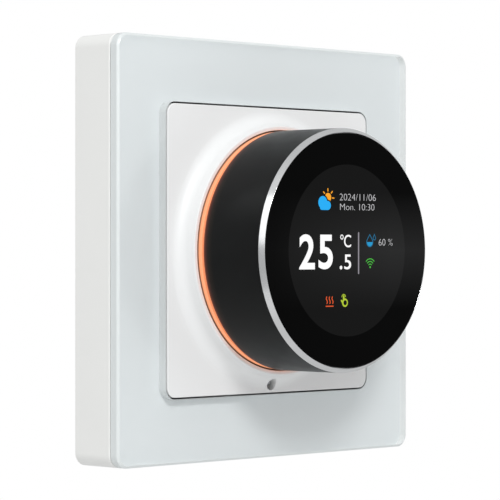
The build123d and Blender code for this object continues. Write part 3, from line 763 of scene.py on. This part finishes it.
def bezel_ring():
    """Bright bevelled ring round the cover lens."""
    inner, lens_seat = LENS_RADIUS + 0.13, LENS_BACK - 0.15
    outline = [(KNOB_BORE, BEZEL_SEAT), (BEZEL_FIT, BEZEL_SEAT), (BEZEL_FIT, SLEEVE_FRONT),
               (KNOB_RADIUS, SLEEVE_FRONT), (KNOB_RADIUS, SLEEVE_FRONT + 0.05), (inner + 0.05, BEZEL_FRONT),
               (inner, BEZEL_FRONT), (inner, lens_seat), (KNOB_BORE, lens_seat)]
    body = lathe("bezel_bevel", soften(outline, (0, 0, 0, 0.02, 0.03, 0.03, 0.02, 0, 0), steps=3))
    place(body, "knob", BEZEL, "bright_aluminium", ["bezel_ring"], crease=25)


def cover_lens():
    """Black cover glass, and the lit screen seen through it."""
    chamfer = 0.1
    outline = [(0.05, LENS_BACK), (LENS_RADIUS, LENS_BACK), (LENS_RADIUS, LENS_FACE - chamfer),
               (LENS_RADIUS - chamfer, LENS_FACE), (DISPLAY_RADIUS, LENS_FACE), (0.05, LENS_FACE)]
    body = turned_bar("cover_lens", outline, steps=TURNED_STEPS)
    place(body, "head", LENS, "cover_glass", ["cover_glass"], crease=25)
    outline = [(DISPLAY_RADIUS, LENS_FACE - 0.02), (DISPLAY_RADIUS, SCREEN_FACE), (8.0, SCREEN_FACE)]
    screen = turned_bar("lit_screen", outline, steps=TURNED_STEPS)
    place(screen, "head", SCREEN, "display")


# ---------------------------------------------------------------- display drawings, as (x, z) outlines
def arc(x, z, radius, turns):
    return [(x + radius * math.cos(turn), z + radius * math.sin(turn)) for turn in turns]


def dot(x, z, radius, steps=28):
    return arc(x, z, radius, [math.tau * step / steps for step in range(steps)])


def stroke(start, end, width, steps=8):
    """A straight line with round ends."""
    lean = math.atan2(end[1] - start[1], end[0] - start[0])
    outline = []
    for (x, z), side in ((end, -1), (start, 1)):
        turns = [lean + side * math.pi / 2 + math.pi * step / steps for step in range(steps + 1)]
        outline += arc(x, z, width / 2, turns)
    return outline


def band(x, z, radius, width, first, last, steps=16):
    """Part of a ring between two angles in degrees."""
    turns = [math.radians(first + (last - first) * step / steps) for step in range(steps + 1)]
    return arc(x, z, radius + width / 2, turns) + arc(x, z, radius - width / 2, turns)[::-1]


def ribbon(points, width):
    """A line of even width through the points."""
    left, right = [], []
    for index, (x, z) in enumerate(points):
        ahead = points[min(index + 1, len(points) - 1)]
        behind = points[max(index - 1, 0)]
        lean = math.atan2(ahead[1] - behind[1], ahead[0] - behind[0])
        side = (-math.sin(lean) * width / 2, math.cos(lean) * width / 2)
        left.append((x + side[0], z + side[1]))
        right.append((x - side[0], z - side[1]))
    return left + right[::-1]


def drop(x, z, radius, tall):
    """A water drop: a round bowl that rises to a point."""
    turns = [math.radians(160 + 220 * step / 18) for step in range(19)]
    return arc(x, z, radius, turns) + [(x, z + tall)]


def symbol(name, material, outlines, cuts=(), thickness=0.02):
    """Thin raised shapes on the screen: the outlines joined, less the cuts."""
    def prism(outline, low, high):
        return loft(name, [[(x, z, height) for x, z in outline] for height in (low, high)])

    low, high = SCREEN_FACE - 0.01, SCREEN_FACE + thickness
    body = prism(outlines[0], low, high)
    if len(outlines) > 1:
        carve(body, [prism(outline, low, high) for outline in outlines[1:]], "UNION")
    if cuts:
        carve(body, [prism(outline, SCREEN_FACE - 1, SCREEN_FACE + 1) for outline in cuts])
    place(body, "head", material, "display")


def lettering(name, words, left, right, bottom, top, weight=0.0, material=None):
    """Characters whose ink fills the given box on the screen."""
    curve = bpy.data.curves.new(name, "FONT")
    curve.body = words
    curve.size = 1.0
    curve.offset = weight
    curve.extrude = 0.5
    curve.resolution_u = 6
    holder = bpy.data.objects.new(name, curve)
    bpy.context.scene.collection.objects.link(holder)
    bpy.context.view_layer.update()
    graph = bpy.context.evaluated_depsgraph_get()
    mesh = bpy.data.meshes.new_from_object(holder.evaluated_get(graph))
    bpy.data.objects.remove(holder)
    xs = [vertex.co.x for vertex in mesh.vertices]
    ys = [vertex.co.y for vertex in mesh.vertices]
    wide, tall = max(xs) - min(xs), max(ys) - min(ys)
    for vertex in mesh.vertices:
        across = left + (vertex.co.x - min(xs)) / wide * (right - left)
        up = bottom + (vertex.co.y - min(ys)) / tall * (top - bottom)
        vertex.co = point(across, up, SCREEN_FACE + 0.005 + 0.03 * vertex.co.z)
    obj = bpy.data.objects.new(name, mesh)
    bpy.context.scene.collection.objects.link(obj)
    face_outward(obj)
    place(obj, "head", material or INK_WHITE, "display")


def display_words():
    """The temperature, the humidity, the date and the time."""
    lettering("reading_tens", "2", -13.3, -9.1, -3.5, 3.0, weight=0.022)
    lettering("reading_units", "5", -8.1, -4.2, -3.5, 2.95, weight=0.022)
    lettering("reading_degree", "\u00b0", -2.15, -1.25, 2.05, 3.0, weight=0.0)
    lettering("reading_scale", "C", -1.1, 0.85, 0.6, 2.95, weight=0.004)
    lettering("reading_point", ".", -2.3, -1.6, -3.55, -2.85, weight=0.01)
    lettering("reading_tenth", "5", -1.05, 0.85, -3.55, -0.75, weight=0.008)
    lettering("humidity_reading", "60 %", 8.65, 12.6, 0.95, 2.2, weight=-0.02, material=INK_PALE)
    lettering("date_line", "2024/11/06", -2.3, 7.8, 9.4, 10.65, weight=-0.02, material=INK_PALE)
    lettering("time_line", "Mon. 10:30", -2.2, 7.4, 7.6, 8.8, weight=-0.02, material=INK_PALE)


def display_symbols():
    """The divider and the humidity, wireless, weather, heating and touch symbols."""
    symbol("divider", INK_GREY, [stroke((2.95, -4.3), (2.95, 3.3), 0.32)])

    outer, inner = drop(6.1, 1.6, 0.95, 1.55), drop(6.1, 1.62, 0.78, 1.3)
    symbol("humidity_outline", INK_DIM_BLUE, [outer], cuts=[inner])
    fill = arc(6.1, 1.6, 0.78, [math.radians(180 + 180 * step / 18) for step in range(19)])
    symbol("humidity_level", INK_BLUE, [fill])
    outer, inner = drop(7.4, 2.35, 0.42, 0.85), drop(7.4, 2.35, 0.28, 0.6)
    symbol("humidity_small_drop", INK_DIM_BLUE, [outer], cuts=[inner])

    wifi_x, wifi_z = 6.2, -3.15
    symbol("wireless_dot", INK_GREEN, [dot(wifi_x, wifi_z, 0.2)])
    for index in range(3):
        arch = band(wifi_x, wifi_z, 0.58 + 0.5 * index, 0.17, 42, 138)
        symbol(f"wireless_arc_{index + 1}", INK_GREEN, [arch])

    sun_x, sun_z = -5.5, 9.9
    cloud = [dot(-6.95, 8.95, 1.2), dot(-5.6, 8.4, 0.85), stroke((-7.2, 8.1), (-5.6, 8.1), 1.1)]
    symbol("weather_cloud", INK_CLOUD, cloud)
    cloud_room = [dot(-6.95, 8.95, 1.5), dot(-5.6, 8.4, 1.1)]
    symbol("weather_sun", INK_SUN, [dot(sun_x, sun_z, 0.85)], cuts=cloud_room)
    for index, turn in enumerate((141, 92, 44, -4)):
        lean = math.radians(turn)
        near = (sun_x + 1.2 * math.cos(lean), sun_z + 1.2 * math.sin(lean))
        far = (sun_x + 1.6 * math.cos(lean), sun_z + 1.6 * math.sin(lean))
        symbol(f"weather_ray_{index + 1}", INK_SUN, [stroke(near, far, 0.24)])

    for index in range(3):
        x = -5.85 + 0.78 * index
        wave = [(x + 0.15 * math.sin(math.tau * step / 12), -9.95 + 1.35 * step / 12)
                for step in range(13)]
        symbol(f"heat_wave_{index + 1}", INK_HEAT, [ribbon(wave, 0.2)])
    symbol("heat_bar", INK_HEAT, [stroke((-6.05, -10.4), (-4.1, -10.4), 0.2)])

    hand = [stroke((-1.2, -8.6), (-1.2, -9.9), 0.42), dot(-0.85, -9.8, 0.8),
            stroke((-1.85, -9.4), (-1.35, -9.95), 0.32)]
    symbol("touch_hand", INK_HAND, hand, cuts=[dot(-0.8, -9.8, 0.48)])
    symbol("touch_ring", INK_HAND, [band(-1.2, -8.75, 0.52, 0.14, 0, 180)])


# ---------------------------------------------------------------- back of the thermostat
def mounting_bracket():
    """Steel plate on the wall, with slots for the box screws and windows for the snap arms."""
    corner, ease = 4.0, 0.08
    body = loft("bracket_plate", [
        rounded_square(BRACKET_HALF - ease, corner - ease, 0.0),
        rounded_square(BRACKET_HALF, corner, ease),
        rounded_square(BRACKET_HALF, corner, BRACKET_FRONT - ease),
        rounded_square(BRACKET_HALF - ease, corner - ease, BRACKET_FRONT),
    ])
    tools = [turned_bar("opening", [(19.5, -1), (19.5, 2)], steps=96)]
    slot_half, slot_run = 1.7, 1.8
    for turn in range(4):
        quarter = Matrix.Rotation(math.pi / 2 * turn, 4, "Y")
        outline = stroke((SLOT_RADIUS - slot_run, 0), (SLOT_RADIUS + slot_run, 0), 2 * slot_half, steps=16)
        slot = loft("slot", [[(x, z, height) for x, z in outline] for height in (-1, 2)])
        slot.data.transform(quarter)
        hole = turned_bar("hole", [(1.6, -1), (1.6, 2)], x=31.5, z=31.5, steps=40)
        hole.data.transform(quarter)
        screw = turned_bar("hole", [(1.45, -1), (1.45, 2)], x=16.6, z=16.6, steps=40)
        screw.data.transform(quarter)
        tools += [slot, hole, screw]
    for side in (-1, 1):
        for x in (-SNAP_ARM_X, SNAP_ARM_X):
            bottom, top = sorted((side * 25.7, side * 28.3))
            tools.append(brick("window", x - 2.5, x + 2.5, bottom, top, -1, 2))
    carve(body, tools)
    ease_edges(body, 0.06)
    place(body, "base", STEEL, "zinc_steel", ["mounting_bracket"])


def rear_housing():
    """White box behind the wall, with a wide bevel, a terminal bay and vents."""
    wall, bevel, inner_bevel = 1.6, 5.0, 4.4
    floor, inner = HOUSING_BACK + wall, HOUSING_HALF - wall
    outline = [(inner - inner_bevel, floor), (inner, floor + inner_bevel),
               (inner, 0.0), (HOUSING_HALF, 0.0), (HOUSING_HALF, HOUSING_BACK + bevel),
               (HOUSING_HALF - bevel, HOUSING_BACK), (HOUSING_HALF - bevel - 3, HOUSING_BACK)]
    outline = soften(outline, (0, 0.3, 0.2, 0.2, 1.2, 1.2, 0), steps=6, closed=False)
    loops = [clipped_square(reach, reach + HOUSING_CLIP, height) for reach, height in outline]
    body = loft("rear_case", loops)
    bay_half, bay_top = TERMINAL_HALF + 0.2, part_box("terminal_block")[1].z / MM + 0.2
    bay_wall, vent_half = 1.2, 0.75
    bay = brick("bay", -bay_half - bay_wall, bay_half + bay_wall, -HOUSING_HALF, bay_top + bay_wall,
                HOUSING_BACK, -6.0)
    carve(body, [bay], "UNION")
    tools = [brick("room", -bay_half, bay_half, -30, bay_top, -40, -5.2)]
    tools += [brick("vent", x - vent_half, x + vent_half, 20, 30, -15, -7) for x in range(-12, 13, 4)]
    carve(body, tools)
    ease_edges(body, 0.15, segments=3, angle=50)
    place(body, "base", HOUSING, "housing_plastic", ["rear_housing"], crease=30)


def terminal_places():
    return [TERMINAL_PITCH * index for index in range(-2, 3)]


def terminal_block():
    """Five-way block: a cage, a wire entry and a screw well in each way, and grooves between them."""
    low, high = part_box("terminal_block")
    bottom, top, rear, board = low.z / MM, high.z / MM, -high.y / MM, -low.y / MM
    body = brick("terminal_body", -TERMINAL_HALF, TERMINAL_HALF, bottom, top, rear, board)
    tools = []
    for x in terminal_places():
        tools.append(brick("cage", x - 1.95, x + 1.95, bottom + 1.2, bottom + 7.2, -15.6, -8.0))
        tools.append(brick("entry", x - 1.7, x + 1.7, bottom - 1, bottom + 2, -13.0, -9.6))
        tools.append(turned_bar("way", [(2.0, rear - 1), (2.0, -15)], x=x, z=TERMINAL_SCREW_Z, steps=40))
    for x in terminal_places()[:-1]:
        left = x + TERMINAL_PITCH / 2 - 0.2
        right = left + 0.4
        tools.append(brick("groove", left, right, bottom - 1, top - 0.8, rear - 1, rear + 0.5))
        tools.append(brick("groove", left, right, bottom - 1, bottom + 0.4, rear - 1, board - 1))
    carve(body, tools)
    ease_edges(body, 0.12, angle=50)
    place(body, "base", TERMINAL, "terminal_green", ["terminal_block"])


def terminal_screws():
    """Slotted clamp screws, one in each way."""
    low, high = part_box("terminal_screws")
    rear, inner = -high.y / MM, -low.y / MM
    head, thread, shoulder, slot_half = 1.85, 1.25, rear + 1.6, 0.35
    outline = [(0.1, rear), (head, rear), (head, shoulder), (thread, shoulder), (thread, inner), (0.1, inner)]
    outline = soften(outline, (0, 0.3, 0.1, 0, 0.2, 0), closed=False)
    screws = []
    for x in terminal_places():
        screw = turned_bar("screw", outline, x=x, z=TERMINAL_SCREW_Z, steps=40)
        slot = brick("slot", x - 2.2, x + 2.2, TERMINAL_SCREW_Z - slot_half, TERMINAL_SCREW_Z + slot_half,
                     rear - 1, rear + 0.7)
        screws.append(carve(screw, [slot]))
    place(join("clamp_screws", screws), "base", SCREW_STEEL, "steel_screw", ["terminal_screws"])


# ---------------------------------------------------------------- hidden CAD pieces
HIDDEN = {
    BOARD: ("led_board", "control_board", "power_board"),
    LED: ("ring_leds",),
    SCREW_STEEL: ("led_board_screws", "tray_screws", "bracket_screws", "board_screws", "carrier_screws"),
    STEEL: ("stem_clip", "radio_module"),
    BRASS: ("terminal_clamps",),
    GREY: ("inner_tray",),
    DARK: ("press_switch", "plug_socket", "plug_header", "power_module", "rear_plate", "display_carrier",
           "processor", "encoder", "switch_plunger", "filter_capacitor", "display_adhesive"),
    NATURAL: ("ribbon_connector", "rear_glide_ring", "front_glide_ring", "ring_gear", "encoder_pinion"),
    HOUSING: ("insulating_cover",),
    BLUE: ("relay", "varistor"),
    BROWN: ("fuse",),
    ORANGE_FILM: ("ribbon_cable",),
    LENS: ("display_module",),
}


def paint_hidden_nodes():
    for material, names in HIDDEN.items():
        for name in names:
            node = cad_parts[name]
            node.data.materials.clear()
            node.data.materials.append(material)


# ---------------------------------------------------------------- studio and camera
FLOOR_HEIGHT = -0.3          # metres
FLOOR_RADIUS = 600.0
SKY_STRENGTH = (0.54, 0.80)   # straight down and straight up
# name, azimuth and elevation in degrees, distance and size in metres, power in watts
LAMPS = [
    ("highlight", -41, 20, 0.9, 0.58, 0.80),
    ("key", -29, 31, 0.9, 0.20, 3.12),
]
LENS_MM = 184.78
CAMERA_AZIMUTH = -45.35
CAMERA_DISTANCE = 0.49674    # metres
CAMERA_AIM = (-2.73, 0.0, PANEL_FRONT - 2.77)
CAMERA_SHIFT = (-0.0013, 0.001)


def sky():
    """White where the camera sees it; as light, weaker from below than from above."""
    world = bpy.data.worlds.new("studio")
    bpy.context.scene.world = world
    world.use_nodes = True
    tree = world.node_tree
    backdrop = tree.nodes["Background"]
    backdrop.inputs["Color"].default_value = (1, 1, 1, 1)
    backdrop.inputs["Strength"].default_value = 1.0
    soft = tree.nodes.new("ShaderNodeBackground")
    soft.inputs["Color"].default_value = (0.985, 0.995, 1.0, 1)
    place_in_sky = tree.nodes.new("ShaderNodeTexCoord").outputs["Generated"]
    split = tree.nodes.new("ShaderNodeSeparateXYZ")
    tree.links.new(place_in_sky, split.inputs["Vector"])
    gradient = tree.nodes.new("ShaderNodeMapRange")
    gradient.inputs["From Min"].default_value = -1.0
    gradient.inputs["To Min"].default_value = SKY_STRENGTH[0]
    gradient.inputs["To Max"].default_value = SKY_STRENGTH[1]
    tree.links.new(split.outputs["Z"], gradient.inputs["Value"])
    tree.links.new(gradient.outputs["Result"], soft.inputs["Strength"])
    seen = tree.nodes.new("ShaderNodeLightPath")
    mix = tree.nodes.new("ShaderNodeMixShader")
    tree.links.new(seen.outputs["Is Camera Ray"], mix.inputs["Fac"])
    tree.links.new(soft.outputs["Background"], mix.inputs[1])
    tree.links.new(backdrop.outputs["Background"], mix.inputs[2])
    tree.links.new(mix.outputs["Shader"], tree.nodes["World Output"].inputs["Surface"])


def direction(azimuth, elevation=0.0):
    """Unit vector from the object towards a place round it, both angles in degrees."""
    across, up = math.radians(azimuth), math.radians(elevation)
    return Vector((math.sin(across) * math.cos(up), -math.cos(across) * math.cos(up), math.sin(up)))


def stand(obj, aim, away, distance):
    """Puts a lamp or camera at a distance from its aim, and turns it to face it."""
    bpy.context.scene.collection.objects.link(obj)
    obj.location = aim + away * distance
    obj.rotation_mode = "QUATERNION"
    obj.rotation_quaternion = away.to_track_quat("Z", "Y")


def studio():
    """Pale floor, soft sky and two disc lamps."""
    floor = turned_bar("studio_floor", [(FLOOR_RADIUS, 0.0), (FLOOR_RADIUS, 1.0)], steps=96)
    flat = Matrix.Rotation(math.radians(-90), 4, "X")
    floor.data.transform(Matrix.Translation((0, 0, FLOOR_HEIGHT)) @ flat)
    floor.data.materials.append(moulded("studio_floor", (0.80, 0.80, 0.80, 1), roughness=0.8, tone=0.01))
    sky()
    for name, azimuth, elevation, distance, size, power in LAMPS:
        light = bpy.data.lights.new(name, "AREA")
        light.shape = "DISK"
        light.size = size
        light.energy = power
        stand(bpy.data.objects.new(name, light), Vector(), direction(azimuth, elevation), distance)


def camera():
    lens = bpy.data.cameras.new("camera")
    lens.lens = LENS_MM
    lens.sensor_width = 36.0
    lens.shift_x, lens.shift_y = CAMERA_SHIFT
    lens.clip_start = 0.05
    lens.clip_end = 20.0
    obj = bpy.data.objects.new("camera", lens)
    stand(obj, point(*CAMERA_AIM), direction(CAMERA_AZIMUTH), CAMERA_DISTANCE)
    bpy.context.scene.camera = obj


# ---------------------------------------------------------------- build
outer_frame()
panel_tape()
glass_panel()
centre_plate()
sensor_bead()
light_ring()
return_coil()
knob_sleeve()
bezel_ring()
cover_lens()
display_words()
display_symbols()
mounting_bracket()
rear_housing()
terminal_block()
terminal_screws()
paint_hidden_nodes()
studio()
camera()
bpy.context.scene.view_settings.view_transform = "Standard"

bpy.context.view_layer.update()
